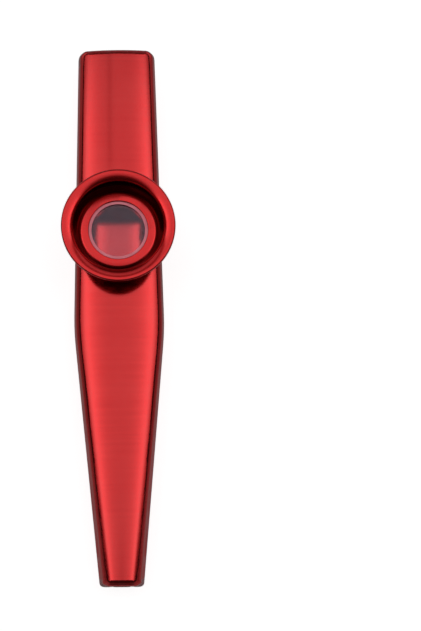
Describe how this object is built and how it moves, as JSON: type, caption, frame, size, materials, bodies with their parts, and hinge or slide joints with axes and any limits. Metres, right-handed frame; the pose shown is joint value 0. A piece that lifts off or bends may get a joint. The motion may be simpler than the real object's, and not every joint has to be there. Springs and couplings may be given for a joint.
{
  "type": "kazoo",
  "caption": "Stamped metal kazoo with a flat mouth end, a tapering body and a flared screw-on cup that clamps a thin membrane.",
  "frame": {"origin": "below the middle of the body, at the lowest point of the back shell, in the middle of the bounding box", "axes": "+Y along the body towards the mouth end, +Z out of the cup along the turret's axis, X across the body; the kazoo lies on its back"},
  "size_m": [0.0248, 0.12, 0.0173],
  "materials": {
    "red_anodised": "red anodised, satin gloss",
    "red_anodised_cup": "red anodised, satin gloss, turned",
    "hoop_plastic": "translucent",
    "membrane": "clear film"
  },
  "bodies": {
    "body": {"front_shell": "red_anodised", "back_shell": "red_anodised", "turret_collar": "red_anodised_cup"},
    "membrane": {"membrane_film": "membrane", "membrane_hoop": "hoop_plastic"},
    "cap": {"cap_nut": "red_anodised_cup", "cup": "red_anodised_cup"}
  },
  "joints": [
    {"name": "cap_lift", "type": "slide", "parent": "body", "child": "membrane", "axis": [0, 0, 1], "range_m": [0, 0.0015]},
    {"name": "cap_turn", "type": "hinge", "parent": "membrane", "child": "cap", "pos_m": [0, 0.0173, 0.0124], "axis": [0, 0, 1], "range_deg": [0, 900]}
  ],
  "couplings": [
    {"joint": "cap_lift", "follows": "cap_turn", "m_per_rad": 0.00009549}
  ]
}
